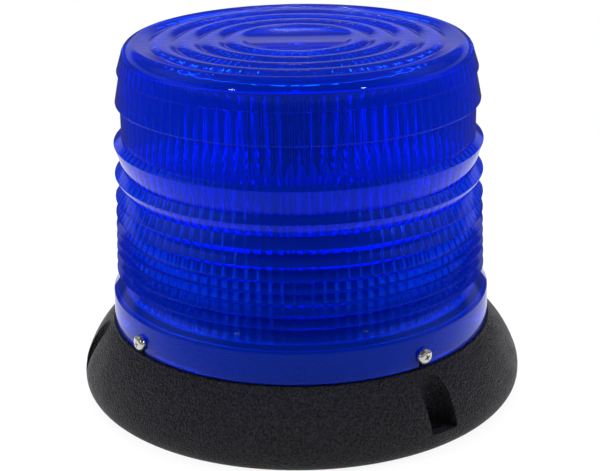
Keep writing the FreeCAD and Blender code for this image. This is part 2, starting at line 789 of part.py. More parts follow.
def make_led_board(index):
    """One board, screwed to a flat of the tower."""
    body = new_body(f"led_board_{index + 1}")
    name = f"led_board_outline_{index + 1}"
    turn = index * 360 / led_board_count
    outline = new_sketch(body, name, "XZ_Plane", "tower_flats / 2", turn)
    add_loop(outline, rectangle(
        "-led_board_width / 2", f"{led_board_middle} - led_board_height / 2",
        "led_board_width / 2", f"{led_board_middle} + led_board_height / 2"))
    for side in ("-", "+"):
        add_circle(outline, "0", f"{led_board_middle} {side} {board_screw_reach}",
                   "board_screw_radius + fit_gap")
    pad(body, f"led_board_slab_{index + 1}", outline, "led_board_thickness")


def make_led_packages():
    body = new_body("led_packages")
    outline = new_sketch(body, "led_outline", "XZ_Plane", led_board_face)
    steps = [led - (led_count - 1) / 2 for led in range(led_count)]
    middles = [f"({led_board_middle} + {led_pitch} * {step})" for step in steps]
    for middle in middles:
        add_loop(outline, rectangle(
            "-led_side / 2", f"{middle} - led_side / 2", "led_side / 2", f"{middle} + led_side / 2"))
    features = [pad(body, "led_row", outline, "led_height")]
    dome_foot = f"-({led_board_face} + led_height)"
    dome_top = f"-({led_board_face} + led_height + led_dome)"
    for place, middle in enumerate(middles, start=1):
        section = new_sketch(body, f"led_dome_section_{place}", "YZ_Plane")
        add_loop(section, [
            (dome_top, middle),
            (dome_foot, middle),
            (dome_foot, f"{middle} + led_dome", quarter_round("led_dome")),
        ])
        add_axis(section, (dome_top, middle), (dome_foot, middle))
        features.append(revolve(body, f"led_dome_{place}", section, axis="Axis0"))
    polar(body, "led_rows", features, str(led_board_count))


def make_led_board_screws():
    body = new_body("led_board_screws")
    features = []
    for name, radius, length, inwards in (
            ("board_screw_heads", "board_head_radius", "board_head_height", False),
            ("board_screw_shanks", "board_screw_radius", "board_screw_length", True)):
        outline = new_sketch(body, f"{name}_outline", "XZ_Plane", led_board_face)
        for side in ("-", "+"):
            add_circle(outline, "0", f"{led_board_middle} {side} {board_screw_reach}", radius)
        features.append(pad(body, name, outline, length, downwards=inwards))
    recess_outline = new_sketch(
        body, "board_recess_outline", "XZ_Plane", f"{led_board_face} + board_head_height")
    for side in ("-", "+"):
        add_loop(recess_outline, cross_recess(
            "0", f"{led_board_middle} {side} {board_screw_reach}", "board_recess_reach", "board_recess_half"))
    features.append(pocket(body, "board_screw_recesses", recess_outline, "board_recess_depth"))
    polar(body, "board_screws_all_round", features, str(led_board_count))


def make_driver_board():
    body = new_body("driver_board")
    outline = new_sketch(body, "driver_outline", "XY_Plane", driver_foot)
    add_circle(outline, "0", "0", driver_radius)
    add_circle(outline, "0", "0", "driver_bore")
    pad(body, "driver_disc", outline, "driver_thickness")
    hole_outline = new_sketch(body, "driver_hole_outline", "XY_Plane", driver_top)
    add_circle(hole_outline, "0", f"-{standoff_circle}", "screw_radius + through_gap")
    hole = pocket(body, "driver_hole", hole_outline)
    polar(body, "driver_holes", [hole], "standoff_count")


def make_filter_capacitors():
    body = new_body("filter_capacitors")
    outline = new_sketch(body, "capacitor_outline", "XY_Plane", driver_top)
    for step in (-1, 0, 1):
        angle = f"{capacitor_bearing} + capacitor_degrees * {step}"
        across = f"{capacitor_circle} * cos({angle})"
        up = f"{capacitor_circle} * sin({angle})"
        add_circle(outline, across, up, "capacitor_radius")
    pad(body, "capacitor_cans", outline, "capacitor_height")


def make_power_inductor():
    body = new_body("power_inductor")
    outline = new_sketch(body, "inductor_outline", "XY_Plane", driver_top, turn=inductor_bearing)
    half = "inductor_side / 2"
    short = "(inductor_side / 2 - inductor_chamfer)"
    add_loop(outline, [
        (f"{inductor_circle} - {short}", f"-{half}"),
        (f"{inductor_circle} + {short}", f"-{half}"),
        (f"{inductor_circle} + {half}", f"-{short}"),
        (f"{inductor_circle} + {half}", short),
        (f"{inductor_circle} + {short}", half),
        (f"{inductor_circle} - {short}", half),
        (f"{inductor_circle} - {half}", short),
        (f"{inductor_circle} - {half}", f"-{short}"),
    ])
    pad(body, "inductor_block", outline, "inductor_height")


def make_driver_chips():
    body = new_body("driver_chips")
    for step in (-1, 1):
        outline = new_sketch(body, f"chip_outline_{step + 2}", "XY_Plane", driver_top,
                             turn=chip_bearing + step * number("chip_degrees"))
        add_loop(outline, rectangle(
            f"{chip_circle} - chip_length / 2", "-chip_width / 2",
            f"{chip_circle} + chip_length / 2", "chip_width / 2"))
        pad(body, f"chip_{step + 2}", outline, "chip_height")


def make_terminal_block():
    body = new_body("terminal_block")
    outline = new_sketch(body, "terminal_outline", "XY_Plane", driver_top, turn=terminal_bearing)
    add_loop(outline, rectangle(
        f"{terminal_circle} - terminal_width / 2", "-terminal_length / 2",
        f"{terminal_circle} + terminal_width / 2", "terminal_length / 2"))
    pad(body, "terminal_body", outline, "terminal_height")
    mouth_outline = new_sketch(body, "terminal_mouth_outline", "YZ_Plane",
                               f"{terminal_circle} - terminal_width / 2", turn=terminal_bearing)
    for side in ("-", "+"):
        add_circle(mouth_outline, f"{side} terminal_pitch / 2", f"{driver_top} + terminal_hole_rise",
                   "terminal_hole / 2")
    pocket(body, "terminal_mouths", mouth_outline, "terminal_hole_depth", upwards=True)


make_base_housing()
make_mounting_gasket()
make_cable_grommet()
make_lens()
make_lens_seal()
make_lens_screws()
make_screw_inserts()
make_deck_plate()
make_upright_screws("deck_screws", spigot_top, pillar_circle, "deck_screw_length", "pillar_count",
                    deck_screw_bearing)
make_tower_core()
make_upright_screws("tower_screws", deck_foot, "tower_screw_circle", "tower_screw_length",
                    "tower_screw_count", tower_screw_bearing, head_below=True)
make_tower_cap()
make_upright_screws("cap_screw", f"{tower_top} + cap_thickness", "0", "cap_screw_length", "1")
for board in range(led_board_count):
    make_led_board(board)
make_led_packages()
make_led_board_screws()
make_driver_board()
make_upright_screws("board_screws", driver_top, standoff_circle, "driver_screw_length", "standoff_count")
make_filter_capacitors()
make_power_inductor()
make_driver_chips()
make_terminal_block()

doc.recompute()
for item in doc.Objects:
    if "Invalid" in item.State or "Error" in item.State:
        raise RuntimeError(f"{item.Name} failed: {item.State}")
for piece in pieces:
    if piece.Shape.isNull() or not piece.Shape.isValid() or not piece.Shape.Solids:
        raise RuntimeError(f"{piece.Label} has no sound solid")

os.makedirs("parts", exist_ok=True)
for piece in pieces:
    piece.Shape.exportStep(f"parts/{piece.Label}.step")
    print(piece.Label, len(piece.Shape.Solids), "solids", round(piece.Shape.Volume, 1), "mm3")
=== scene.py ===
import math

import bmesh
import bpy
from mathutils import Matrix, Vector


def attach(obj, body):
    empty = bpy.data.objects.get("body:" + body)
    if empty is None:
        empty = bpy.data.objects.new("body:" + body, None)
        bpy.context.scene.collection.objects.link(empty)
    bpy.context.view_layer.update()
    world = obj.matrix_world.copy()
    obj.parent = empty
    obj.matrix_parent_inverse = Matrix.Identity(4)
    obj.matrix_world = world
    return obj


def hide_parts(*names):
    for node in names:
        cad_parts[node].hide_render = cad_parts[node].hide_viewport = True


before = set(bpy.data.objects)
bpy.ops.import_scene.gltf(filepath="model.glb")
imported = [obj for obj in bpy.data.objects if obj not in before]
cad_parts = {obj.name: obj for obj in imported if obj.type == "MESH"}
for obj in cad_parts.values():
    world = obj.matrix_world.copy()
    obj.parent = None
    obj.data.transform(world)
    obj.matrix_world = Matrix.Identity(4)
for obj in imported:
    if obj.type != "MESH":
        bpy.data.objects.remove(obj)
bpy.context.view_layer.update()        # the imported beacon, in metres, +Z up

mm = 0.001
print("frame loaded:", len(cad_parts), "nodes")


# Node helpers

noiseSpan = (0.3, 0.7)     # most of a noise lies between these
rampStops = (0.35, 0.65)
noStretch = (1.0, 1.0, 1.0)


def addRange(tree, value, source, target, smooth=False):
    # carries a value from one span of numbers to another
    node = tree.nodes.new("ShaderNodeMapRange")
    if smooth:
        node.interpolation_type = "SMOOTHSTEP"
    for name, number in zip(("From Min", "From Max", "To Min", "To Max"), (*source, *target)):
        node.inputs[name].default_value = number
    tree.links.new(value, node.inputs["Value"])
    return node.outputs["Result"]


def addMath(tree, operation, first, second=None):
    # each of the two is a socket or a plain number
    node = tree.nodes.new("ShaderNodeMath")
    node.operation = operation
    for socket, value in zip(node.inputs, (first, second)):
        if isinstance(value, float):
            socket.default_value = value
        elif value is not None:
            tree.links.new(value, socket)
    return node.outputs["Value"]


def addDot(tree, value, direction):
    node = tree.nodes.new("ShaderNodeVectorMath")
    node.operation = "DOT_PRODUCT"
    node.inputs[1].default_value = direction
    tree.links.new(value, node.inputs[0])
    return node.outputs["Value"]


def addSwitch(tree, factor, plain, other):
    # the plain number where the factor is nought, the other socket where it is one
    node = tree.nodes.new("ShaderNodeMix")
    node.data_type = "FLOAT"
    node.inputs["A"].default_value = plain
    tree.links.new(factor, node.inputs["Factor"])
    tree.links.new(other, node.inputs["B"])
    return node.outputs["Result"]


# Finishes

def shaderOf(material):
    return material.node_tree.nodes["Principled BSDF"]


def newFinish(name, colour, roughness, metallic=0.0):
    material = bpy.data.materials.new(name)
    material.use_nodes = True
    shader = shaderOf(material)
    shader.inputs["Base Color"].default_value = (*colour, 1.0)
    shader.inputs["Roughness"].default_value = roughness
    shader.inputs["Metallic"].default_value = metallic
    return material


def addNoise(material, scale, detail, stretch=noStretch):
    tree = material.node_tree
    place = tree.nodes.new("ShaderNodeTexCoord")
    mapping = tree.nodes.new("ShaderNodeMapping")
    mapping.inputs["Scale"].default_value = stretch
    noise = tree.nodes.new("ShaderNodeTexNoise")
    noise.inputs["Scale"].default_value = scale
    noise.inputs["Detail"].default_value = detail
    tree.links.new(place.outputs["Object"], mapping.inputs["Vector"])
    tree.links.new(mapping.outputs["Vector"], noise.inputs["Vector"])
    return noise.outputs["Fac"]


def addGrain(material, scale, strength, height, detail=2.0, stretch=noStretch):
    tree = material.node_tree
    noise = addNoise(material, scale, detail, stretch)
    bump = tree.nodes.new("ShaderNodeBump")
    bump.inputs["Strength"].default_value = strength
    bump.inputs["Distance"].default_value = height
    tree.links.new(noise, bump.inputs["Height"])
    tree.links.new(bump.outputs["Normal"], shaderOf(material).inputs["Normal"])


def softenEdges(material, radius, samples):
    # a narrow rounding on every edge, under the grain
    tree = material.node_tree
    bevel = tree.nodes.new("ShaderNodeBevel")
    bevel.samples = samples
    bevel.inputs["Radius"].default_value = radius
    bump = next(node for node in tree.nodes if node.type == "BUMP")
    tree.links.new(bevel.outputs["Normal"], bump.inputs["Normal"])


def varyRoughness(material, scale, low, high):
    tree = material.node_tree
    noise = addNoise(material, scale, detail=3.0)
    spread = addRange(tree, noise, noiseSpan, (low, high))
    tree.links.new(spread, shaderOf(material).inputs["Roughness"])


def fadeRoughness(material, low, high, lowValue, highValue):
    # roughness that changes between two heights, in metres
    tree = material.node_tree
    place = tree.nodes.new("ShaderNodeTexCoord")
    parts = tree.nodes.new("ShaderNodeSeparateXYZ")
    tree.links.new(place.outputs["Object"], parts.inputs["Vector"])
    fade = addRange(tree, parts.outputs["Z"], (low, high), (lowValue, highValue))
    tree.links.new(fade, shaderOf(material).inputs["Roughness"])


def varyColour(material, scale, first, second, detail=3.0):
    tree = material.node_tree
    noise = addNoise(material, scale, detail)
    ramp = tree.nodes.new("ShaderNodeValToRGB")
    for stop, position, colour in zip(ramp.color_ramp.elements, rampStops, (first, second)):
        stop.position = position
        stop.color = (*colour, 1.0)
    tree.links.new(noise, ramp.inputs["Fac"])
    tree.links.new(ramp.outputs["Color"], shaderOf(material).inputs["Base Color"])


def makeBluePlastic(name, clearShare):
    look = {"tint": (0.001, 0.045, 0.92), "glint": (0.21, 0.42, 1.0), "index": 1.49}
    material = newFinish(name, look["tint"], roughness=0.04)
    shader = shaderOf(material)
    shader.inputs["Transmission Weight"].default_value = clearShare     # the rest is pigment haze
    shader.inputs["IOR"].default_value = look["index"]
    shader.inputs["Specular Tint"].default_value = (*look["glint"], 1.0)
    addGrain(material, scale=90.0, strength=0.012, height=0.0004)     # faint flow ripple of the moulding
    return material


def makeBasePlastic():
    material = newFinish("basePlastic", (0.007, 0.007, 0.009), roughness=0.42)
    shaderOf(material).inputs["Specular IOR Level"].default_value = 0.3
    varyColour(material, scale=1300.0, first=(0.003, 0.003, 0.005), second=(0.014, 0.014, 0.018), detail=1.0)
    addGrain(material, scale=1300.0, strength=1.0, height=0.0014, detail=1.0)     # spark-eroded mould grain
    varyRoughness(material, scale=120.0, low=0.34, high=0.46)
    softenEdges(material, radius=0.0008, samples=8)
    return material


def makeBlackRubber():
    material = newFinish("blackRubber", (0.018, 0.018, 0.018), roughness=0.75)
    varyColour(material, scale=300.0, first=(0.014, 0.014, 0.014), second=(0.024, 0.023, 0.022))
    addGrain(material, scale=900.0, strength=0.2, height=0.0001)
    return material


def makeBrightScrew():
    material = newFinish("brightScrew", (0.86, 0.85, 0.80), roughness=0.16, metallic=1.0)
    addGrain(material, scale=1200.0, strength=0.08, height=0.00005)
    varyRoughness(material, scale=900.0, low=0.10, high=0.24)
    return material


def makeZincScrew():
    material = newFinish("zincScrew", (0.62, 0.63, 0.64), roughness=0.32, metallic=1.0)
    varyColour(material, scale=500.0, first=(0.56, 0.57, 0.58), second=(0.68, 0.68, 0.67))
    varyRoughness(material, scale=800.0, low=0.25, high=0.42)
    return material


def makeBlackZinc():
    material = newFinish("blackZinc", (0.055, 0.055, 0.06), roughness=0.45, metallic=1.0)
    varyColour(material, scale=500.0, first=(0.045, 0.045, 0.05), second=(0.07, 0.07, 0.075))
    varyRoughness(material, scale=800.0, low=0.38, high=0.55)
    return material


def makeBrass():
    material = newFinish("turnedBrass", (0.75, 0.53, 0.22), roughness=0.28, metallic=1.0)
    varyRoughness(material, scale=700.0, low=0.2, high=0.36)
    return material


def makeDeckMetal():
    rolled = (1.0, 30.0, 1.0)     # lines of the rolled sheet, which is anodised black
    material = newFinish("deckSheet", (0.020, 0.020, 0.022), roughness=0.42)
    varyColour(material, scale=300.0, first=(0.016, 0.016, 0.018), second=(0.026, 0.026, 0.029))
    addGrain(material, scale=260.0, strength=0.12, height=0.0001, detail=3.0, stretch=rolled)
    varyRoughness(material, scale=180.0, low=0.34, high=0.5)
    return material


def makeTowerMetal():
    extruded = (20.0, 20.0, 1.0)     # lines of the extrusion die
    material = newFinish("towerMetal", (0.72, 0.73, 0.75), roughness=0.35, metallic=1.0)
    addGrain(material, scale=400.0, strength=0.1, height=0.0001, detail=3.0, stretch=extruded)
    varyRoughness(material, scale=200.0, low=0.28, high=0.44)
    return material


def makeBoard(name, first, second):
    material = newFinish(name, first, roughness=0.4)
    varyColour(material, scale=260.0, first=first, second=second)
    addGrain(material, scale=1800.0, strength=0.12, height=0.00004)
    return material


def makeMoulded(name, first, second, roughness):
    spread = (0.8, 1.2)     # shares of the roughness
    material = newFinish(name, first, roughness)
    varyColour(material, scale=400.0, first=first, second=second)
    addGrain(material, scale=1100.0, strength=0.15, height=0.00006)
    varyRoughness(material, scale=300.0, low=roughness * spread[0], high=roughness * spread[1])
    return material


bluePlastic = makeBluePlastic("bluePlastic", clearShare=0.85)
varyRoughness(bluePlastic, scale=60.0, low=0.02, high=0.05)
flangePlastic = makeBluePlastic("flangePlastic", clearShare=0.86)
varyRoughness(flangePlastic, scale=60.0, low=0.02, high=0.06)     # a little duller than the rings
innerPlastic = makeBluePlastic("innerPlastic", clearShare=0.85)
fadeRoughness(innerPlastic, low=0.042, high=0.062, lowValue=0.42, highValue=0.02)     # dull at the foot
basePlastic = makeBasePlastic()
blackRubber = makeBlackRubber()
brightScrew = makeBrightScrew()
zincScrew = makeZincScrew()
blackZinc = makeBlackZinc()
turnedBrass = makeBrass()
deckSheet = makeDeckMetal()
towerMetal = makeTowerMetal()
lightBoard = makeBoard("lightBoard", (0.020, 0.024, 0.028), (0.032, 0.036, 0.042))
driverBoardMask = makeBoard("driverBoardMask", (0.018, 0.13, 0.05), (0.026, 0.17, 0.07))
capPlastic = makeMoulded("capPlastic", (0.014, 0.014, 0.015), (0.024, 0.024, 0.026), roughness=0.45)
ledDome = makeMoulded("ledDome", (0.78, 0.70, 0.32), (0.86, 0.78, 0.40), roughness=0.12)
ledBody = makeMoulded("ledBody", (0.80, 0.80, 0.76), (0.86, 0.86, 0.82), roughness=0.35)
canSleeve = makeMoulded("canSleeve", (0.02, 0.02, 0.035), (0.03, 0.03, 0.05), roughness=0.3)
ferrite = makeMoulded("ferrite", (0.06, 0.06, 0.065), (0.10, 0.10, 0.105), roughness=0.6)
chipEpoxy = makeMoulded("chipEpoxy", (0.015, 0.015, 0.016), (0.03, 0.03, 0.031), roughness=0.5)
terminalGreen = makeMoulded("terminalGreen", (0.03, 0.22, 0.09), (0.045, 0.28, 0.11), roughness=0.35)
print("finishes made")


# Mesh helpers

doubleGap = 0.002     # points closer than this are one, in millimetres


def addChain(bm, points):
    verts = [bm.verts.new((across * mm, 0.0, up * mm)) for across, up in points]
    for first, second in zip(verts, verts[1:]):
        bm.edges.new((first, second))
    return verts


def arcRun(start, end, bulge, count):
    # points between start and end on an arc that bows to the right of the run by bulge
    across, up = end[0] - start[0], end[1] - start[1]
    chord = math.hypot(across, up)
    radius = chord * chord / (8 * bulge) + bulge / 2
    side = (up / chord, -across / chord)
    middle = ((start[0] + end[0]) / 2, (start[1] + end[1]) / 2)
    centre = [halfway - lean * (radius - bulge) for halfway, lean in zip(middle, side)]
    first = math.atan2(start[1] - centre[1], start[0] - centre[0])
    sweep = 2 * math.asin(chord / (2 * radius))
    angles = [first + sweep * step / count for step in range(1, count)]
    return [(centre[0] + radius * math.cos(angle), centre[1] + radius * math.sin(angle)) for angle in angles]


def roundVerts(bm, verts, size, segments):
    bmesh.ops.bevel(bm, geom=verts, offset=size * mm, offset_type="OFFSET", segments=segments,
                    profile=0.5, affect="VERTICES", material=-1)


def spinAll(bm, steps):
    bmesh.ops.spin(bm, geom=bm.verts[:] + bm.edges[:], cent=(0, 0, 0), axis=(0, 0, 1),
                   angle=2 * math.pi, steps=steps, use_merge=True)
    bmesh.ops.remove_doubles(bm, verts=bm.verts[:], dist=doubleGap * mm)
    bmesh.ops.recalc_face_normals(bm, faces=bm.faces[:])


def newPiece(name, bm, body, finishes, nodes, sharpDegrees):
    mesh = bpy.data.meshes.new(name)
    bm.to_mesh(mesh)
    bm.free()
    mesh.shade_smooth()
    mesh.set_sharp_from_angle(angle=math.radians(sharpDegrees))
    for finish in finishes:
        mesh.materials.append(finish)
    piece = bpy.data.objects.new(name, mesh)
    bpy.context.scene.collection.objects.link(piece)
    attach(piece, body)
    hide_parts(*nodes)


# Lens

lensSizes = {
    "foot": 27.1, "flangeRadius": 70.3, "flangeBore": 67.4, "flangeHeight": 11.6, "flangeDraft": 0.2,
    "shoulderWidth": 3.6, "shoulderHeight": 3.6, "neckHeight": 2.4, "rootRadius": 64.4,
    "ringFaces": (2.6, 2.6, 2.5, 2.3, 2.4, 2.4, 2.8, 5.0, 9.1),
    "ringRisers": (1.6, 1.6, 1.8, 1.8, 2.5, 3.2, 3.6, 2.4, 1.3),
    "ringDepths": (4.2, 3.0), "bandHeight": 12.8,
    "lowerStep": (0.85, 66.1, 10.6, 64.0),     # rise, reach, height of the face, radius at its top
    "upperStep": (0.55, 65.0, 5.75, 63.2),
    "rimHeight": 4.35, "rimRadius": 58.6, "rimBulge": 1.1, "rimSteps": 6,
    "wavePitch": 8.9, "waveDepth": 0.9, "waveCount": 4, "waveSteps": 6, "discRadius": 17.65,
    "seat": 38.0, "wall": 2.9, "topWall": 3.0, "corner": 3.6, "cornerSteps": 4,
    "ceilingRings": (30.0, 43.0), "discMargin": 1.0,
    "screwHeight": 31.2, "notchHalf": 1.725, "notchSteps": 3, "notchBearings": (0, 90, 180, 270),
    "crestRound": 0.25, "footRound": 0.4, "roundSteps": 2, "sharpDegrees": 24.0,
    "fluteCount": 96, "fluteDepths": (0.1, 0.8), "stepsPerFlute": 8,
    "topFluteCount": 48, "topFluteDepth": 0.35,
}
lensMargins = {     # how close to a surface counts as on it, in millimetres
    "wall": 0.1, "ceiling": 0.01, "bore": 0.05, "ledge": 0.05, "arch": 0.0001,
    "innermost": 55.0,     # no point of the fluted wall is nearer to the axis
    "flatNormal": 0.9, "rimShare": 0.9, "stepShare": 0.25,     # shares, not millimetres
}
lensFinishes = {"outer": bluePlastic, "flange": flangePlastic, "inner": innerPlastic}


def lensProfile(bm):
    sizes = lensSizes
    foot, radius = sizes["foot"], sizes["flangeRadius"]
    bore, screw = sizes["flangeBore"], sizes["screwHeight"]
    shoulder = foot + sizes["flangeHeight"]
    top = radius - sizes["flangeDraft"]
    points = [(bore, sizes["seat"]), (bore, screw), (bore, foot)]
    points += [(radius, foot), (radius, screw), (top, shoulder)]
    footRounds = [2, 3]
    crests = [5]
    height = shoulder + sizes["shoulderHeight"]
    points.append((top - sizes["shoulderWidth"], height))
    height += sizes["neckHeight"]
    points.append((sizes["rootRadius"], height))
    ringCount = len(sizes["ringFaces"])
    deep, shallow = sizes["ringDepths"]
    for ring, (face, riser) in enumerate(zip(sizes["ringFaces"], sizes["ringRisers"])):
        height += face
        crests.append(len(points))
        points.append((sizes["rootRadius"] + deep + (shallow - deep) * ring / (ringCount - 1), height))
        height += riser
        points.append((sizes["rootRadius"], height))
    height += sizes["bandHeight"]
    points.append((sizes["rootRadius"], height))
    for rise, reach, face, neck in (sizes["lowerStep"], sizes["upperStep"]):
        height += rise
        crests.append(len(points))
        points.append((reach, height))
        height += face
        points.append((neck, height))
    rimFoot = points[-1]
    height += sizes["rimHeight"]
    rimTop = (sizes["rimRadius"], height)
    points += arcRun(rimFoot, rimTop, sizes["rimBulge"], sizes["rimSteps"]) + [rimTop]
    crests.append(len(points) - 1)
    disc = sizes["discRadius"]
    valley = height - sizes["waveDepth"]
    edges = [disc + sizes["wavePitch"] * wave for wave in range(sizes["waveCount"], -1, -1)]
    for outer, inner in zip(edges, edges[1:]):
        points.append((outer, valley))
        points += arcRun((outer, valley), (inner, valley), sizes["waveDepth"], sizes["waveSteps"])
    points += [(disc, valley), (0.0, valley)]
    ceiling = valley - sizes["topWall"]
    upperBore = sizes["upperStep"][3] - sizes["wall"]
    cornerFoot = (upperBore, ceiling - sizes["corner"])
    cornerTop = (upperBore - sizes["corner"], ceiling)
    cornerBulge = sizes["corner"] * (1 - math.sqrt(0.5))
    rings = (0.0, disc - sizes["discMargin"], disc + sizes["discMargin"], *sizes["ceilingRings"])
    points += [(across, ceiling) for across in rings] + [cornerTop]
    points += list(reversed(arcRun(cornerFoot, cornerTop, cornerBulge, sizes["cornerSteps"])))
    points += [cornerFoot, (sizes["rootRadius"] - sizes["wall"], sizes["seat"])]
    verts = addChain(bm, points)
    bm.edges.new((verts[-1], verts[0]))
    crestVerts = [verts[index] for index in crests]
    footVerts = [verts[index] for index in footRounds]
    roundVerts(bm, crestVerts, sizes["crestRound"], sizes["roundSteps"])
    roundVerts(bm, footVerts, sizes["footRound"], sizes["roundSteps"])
    return ceiling, cornerFoot, cornerTop


def ripple(angle, count):
    return 0.5 - 0.5 * math.cos(angle * count)     # a smooth wave from valley to crest


def pressFlutes(bm, ceiling, cornerFoot, cornerTop):
    sizes = lensSizes
    seat, disc = sizes["seat"], sizes["discRadius"]
    near, level = lensMargins["wall"], lensMargins["ceiling"]
    lowBore = sizes["rootRadius"] - sizes["wall"]
    low, high = sizes["fluteDepths"]
    for vert in bm.verts:
        radius = math.hypot(vert.co.x, vert.co.y) / mm
        up = vert.co.z / mm
        angle = math.atan2(vert.co.y, vert.co.x)
        atWallHeight = seat - near < up < cornerFoot[1] + near
        if atWallHeight and lensMargins["innermost"] < radius < lowBore + near:
            depth = low + (high - low) * (up - seat) / (cornerFoot[1] - seat)
            shrink = 1 - depth * ripple(angle, sizes["fluteCount"]) / radius
            vert.co.x *= shrink
            vert.co.y *= shrink
        elif abs(up - ceiling) < level and disc < radius < cornerTop[0] + near:
            fade = math.sin(math.pi * (radius - disc) / (cornerTop[0] - disc))
            depth = sizes["topFluteDepth"] * math.sqrt(max(fade, 0.0))
            vert.co.z -= depth * ripple(angle, sizes["topFluteCount"]) * mm


def cutNotches(bm):
    sizes = lensSizes
    step = 2 * math.pi / (sizes["fluteCount"] * sizes["stepsPerFlute"])
    limit = (sizes["notchSteps"] + lensMargins["stepShare"]) * step
    level = sizes["screwHeight"] * mm
    faceMiddles = [(face, face.calc_center_median()) for face in bm.faces]
    lowFaces = [(face, middle) for face, middle in faceMiddles if middle.z < level]
    archVerts = [vert for vert in bm.verts if abs(vert.co.z - level) < lensMargins["arch"] * mm]
    doomed = []
    for bearing in sizes["notchBearings"]:
        turn = math.radians(bearing)

        def swing(spot):
            return (math.atan2(spot.y, spot.x) - turn + math.pi) % (2 * math.pi) - math.pi

        doomed += [face for face, middle in lowFaces if abs(swing(middle)) < limit]
        for vert in archVerts:
            offset = abs(swing(vert.co)) * sizes["flangeRadius"]
            if offset < sizes["notchHalf"]:
                vert.co.z += math.sqrt(sizes["notchHalf"] ** 2 - offset ** 2) * mm
    bmesh.ops.delete(bm, geom=doomed, context="FACES")
    middleRadius = (sizes["flangeRadius"] + sizes["flangeBore"]) / 2 * mm
    for bearing in sizes["notchBearings"]:
        aim = Vector((math.cos(math.radians(bearing)), math.sin(math.radians(bearing)), 0.0))
        reach = middleRadius * lensMargins["rimShare"]
        loose = [edge for edge in bm.edges if edge.is_boundary]
        rim = [edge for edge in loose if edge.verts[0].co.dot(aim) > reach]
        sides = [[vert.co.xy.length - middleRadius for vert in edge.verts] for edge in rim]
        chains = [edge for edge, (first, second) in zip(rim, sides) if first * second > 0]
        bmesh.ops.bridge_loops(bm, edges=chains)
    bmesh.ops.recalc_face_normals(bm, faces=bm.faces[:])


def markFinishes(bm):
    sizes = lensSizes
    order = list(lensFinishes)
    seat = sizes["seat"] * mm
    flangeTop = (sizes["foot"] + sizes["flangeHeight"]) * mm
    bore = (sizes["rootRadius"] - sizes["wall"] + lensMargins["bore"]) * mm
    for face in bm.faces:
        middle = face.calc_center_median()
        inside = middle.xy.length < bore and middle.z > seat and face.normal.dot(middle.xyz) < 0
        atSeat = abs(middle.z - seat) < lensMargins["ledge"] * mm
        onLedge = atSeat and abs(face.normal.z) > lensMargins["flatNormal"]
        if inside or onLedge:
            face.material_index = order.index("inner")
        elif middle.z < flangeTop:
            face.material_index = order.index("flange")
        else:
            face.material_index = order.index("outer")


def makeLens():
    bm = bmesh.new()
    ceiling, cornerFoot, cornerTop = lensProfile(bm)
    spinAll(bm, lensSizes["fluteCount"] * lensSizes["stepsPerFlute"])
    pressFlutes(bm, ceiling, cornerFoot, cornerTop)
    cutNotches(bm)
    markFinishes(bm)
    print("lens:", len(bm.faces), "faces,", sum(edge.is_boundary for edge in bm.edges), "open edges")
    newPiece("flutedLens", bm, "lens", lensFinishes.values(), ["lens"],
             lensSizes["sharpDegrees"])


makeLens()


# Lens screws with a cross recess

lensScrewSizes = {
    "headRadius": 3.0, "headHeight": 2.1, "headEdge": 0.9, "headFlat": 1.4, "headBulge": 0.3, "headSteps": 4,
    "shankRadius": 1.45, "shankLength": 9.0, "armReach": 1.15, "armHalf": 0.3, "recessTaper": 0.55,
    "recessDepth": 1.3, "segments": 40, "seatRadius": 70.6, "height": 31.2, "sharpDegrees": 35.0,
    "turns": {-90: 20, 0: 52, 90: 71, 180: 8},     # bearing of each screw, then how far it is turned
}


def panHead(sizes):
    # head above the seat, shank below it, with the recess sunk from the flat of the head
    bm = bmesh.new()
    head, brim, flat = sizes["headRadius"], sizes["headEdge"], sizes["headFlat"]
    top, shank, length = sizes["headHeight"], sizes["shankRadius"], sizes["shankLength"]
    points = [(0.0, -length), (shank, -length), (shank, 0.0), (head, 0.0), (head, brim)]
    points += arcRun((head, brim), (flat, top), sizes["headBulge"], sizes["headSteps"]) + [(flat, top)]
    addChain(bm, points)
    spinAll(bm, sizes["segments"])
    rim = [edge for edge in bm.edges if edge.is_boundary]
    reach, half = sizes["armReach"], sizes["armHalf"]
    arm = [(reach, -half), (reach, half), (half, half)]
    turns = [Matrix.Rotation(math.radians(90 * quarter), 2) for quarter in range(4)]
    corners = [turn @ Vector(spot) for turn in turns for spot in arm]
    mouth = [bm.verts.new((spot.x * mm, spot.y * mm, top * mm)) for spot in corners]
    lips = [bm.edges.new((first, second)) for first, second in zip(mouth, mouth[1:] + mouth[:1])]
    bmesh.ops.triangle_fill(bm, use_beauty=True, edges=rim + lips, normal=(0, 0, 1))
    sunk = bmesh.ops.extrude_edge_only(bm, edges=lips)["geom"]
    for vert in (item for item in sunk if isinstance(item, bmesh.types.BMVert)):
        vert.co.x *= sizes["recessTaper"]
        vert.co.y *= sizes["recessTaper"]
        vert.co.z -= sizes["recessDepth"] * mm
    bmesh.ops.contextual_create(bm, geom=[item for item in sunk if isinstance(item, bmesh.types.BMEdge)])
    bmesh.ops.recalc_face_normals(bm, faces=bm.faces[:])
    mesh = bpy.data.meshes.new("panHead")
    bm.to_mesh(mesh)
    bm.free()
    return mesh


def outward(bearing, radius, height, turn):
    # a place on the side of the beacon whose own upright points away from the axis
    return (Matrix.Rotation(math.radians(bearing), 4, "Z") @ Matrix.Translation((radius * mm, 0, height * mm))
            @ Matrix.Rotation(math.radians(90), 4, "Y") @ Matrix.Rotation(math.radians(turn), 4, "Z"))


